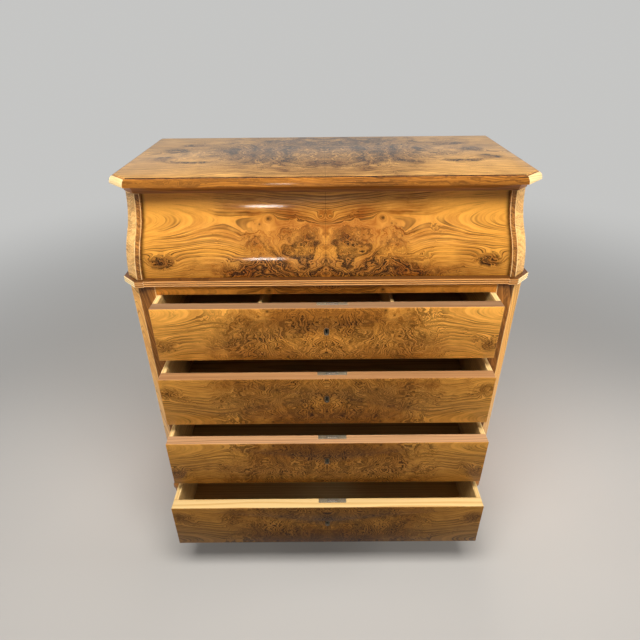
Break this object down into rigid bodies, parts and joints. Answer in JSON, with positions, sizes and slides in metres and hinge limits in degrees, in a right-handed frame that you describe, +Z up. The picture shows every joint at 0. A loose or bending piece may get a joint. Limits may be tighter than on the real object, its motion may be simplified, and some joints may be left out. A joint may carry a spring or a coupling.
{
  "type": "dressing table",
  "caption": "Walnut dressing commode with a moulded lift-up lid over a well, a mirror under the lid, an ogee frieze between scrolled brackets, canted corners and lockable drawers.",
  "frame": {"origin": "on the floor, under the middle of the box around the table with its drawers open as pictured", "axes": "+Z up, +X to the right of someone facing the front, +Y from front to back"},
  "size_m": [0.963, 0.6964, 1],
  "materials": {
    "walnut_veneer": "french polished burr",
    "walnut_moulding": "polished",
    "pine": "bare, aged",
    "lock_iron": "dull",
    "hinge_brass": "aged",
    "mirror_glass": "silvered"
  },
  "bodies": {
    "carcase": {"stile_left": "walnut_veneer", "stile_right": "walnut_veneer", "side_left": "walnut_veneer", "side_right": "walnut_veneer", "top_rail": "walnut_veneer", "drawer_rail_1": "walnut_veneer", "drawer_rail_2": "walnut_veneer", "drawer_rail_3": "walnut_veneer", "back_rail": "walnut_veneer", "bracket_left": "walnut_veneer", "bracket_right": "walnut_veneer", "ogee_panel": "walnut_veneer", "plinth": "walnut_moulding", "base_moulding": "walnut_moulding", "waist_moulding": "walnut_moulding", "bed_moulding": "walnut_moulding", "back_panel": "pine", "well_floor": "pine", "bottom_board": "pine", "dust_board_1": "pine", "dust_board_2": "pine", "dust_board_3": "pine", "hinge_left_frame_leaf": "hinge_brass", "hinge_right_frame_leaf": "hinge_brass"},
    "lid": {"lid_board": "walnut_veneer", "mirror_glass": "mirror_glass", "mirror_frame": "walnut_veneer", "hinge_left_lid_leaf": "hinge_brass", "hinge_right_lid_leaf": "hinge_brass"},
    "drawer_1": {"drawer_1_front": "walnut_veneer", "drawer_1_side_left": "pine", "drawer_1_side_right": "pine", "drawer_1_back": "pine", "drawer_1_bottom": "pine", "drawer_1_lock": "lock_iron", "drawer_1_divider_left": "pine", "drawer_1_divider_right": "pine"},
    "bolt_1": {"drawer_1_bolt": "lock_iron"},
    "drawer_2": {"drawer_2_front": "walnut_veneer", "drawer_2_side_left": "pine", "drawer_2_side_right": "pine", "drawer_2_back": "pine", "drawer_2_bottom": "pine", "drawer_2_lock": "lock_iron"},
    "bolt_2": {"drawer_2_bolt": "lock_iron"},
    "drawer_3": {"drawer_3_front": "walnut_veneer", "drawer_3_side_left": "pine", "drawer_3_side_right": "pine", "drawer_3_back": "pine", "drawer_3_bottom": "pine", "drawer_3_lock": "lock_iron"},
    "bolt_3": {"drawer_3_bolt": "lock_iron"},
    "drawer_4": {"drawer_4_front": "walnut_veneer", "drawer_4_side_left": "pine", "drawer_4_side_right": "pine", "drawer_4_back": "pine", "drawer_4_bottom": "pine", "drawer_4_lock": "lock_iron"},
    "bolt_4": {"drawer_4_bolt": "lock_iron"}
  },
  "joints": [
    {"name": "lid_hinge", "type": "hinge", "parent": "carcase", "child": "lid", "pos_m": [0, 0.3444, 0.97945], "axis": [-1, 0, 0], "range_deg": [0, 95]},
    {"name": "drawer_1_slide", "type": "slide", "parent": "carcase", "child": "drawer_1", "axis": [0, -1, 0], "range_m": [-0.066, 0.234]},
    {"name": "drawer_1_bolt_slide", "type": "slide", "parent": "drawer_1", "child": "bolt_1", "axis": [0, 0, 1], "range_m": [0, 0.007]},
    {"name": "drawer_2_slide", "type": "slide", "parent": "carcase", "child": "drawer_2", "axis": [0, -1, 0], "range_m": [-0.102, 0.198]},
    {"name": "drawer_2_bolt_slide", "type": "slide", "parent": "drawer_2", "child": "bolt_2", "axis": [0, 0, 1], "range_m": [0, 0.007]},
    {"name": "drawer_3_slide", "type": "slide", "parent": "carcase", "child": "drawer_3", "axis": [0, -1, 0], "range_m": [-0.139, 0.161]},
    {"name": "drawer_3_bolt_slide", "type": "slide", "parent": "drawer_3", "child": "bolt_3", "axis": [0, 0, 1], "range_m": [0, 0.007]},
    {"name": "drawer_4_slide", "type": "slide", "parent": "carcase", "child": "drawer_4", "axis": [0, -1, 0], "range_m": [-0.1925, 0.1075]},
    {"name": "drawer_4_bolt_slide", "type": "slide", "parent": "drawer_4", "child": "bolt_4", "axis": [0, 0, 1], "range_m": [0, 0.007]}
  ]
}
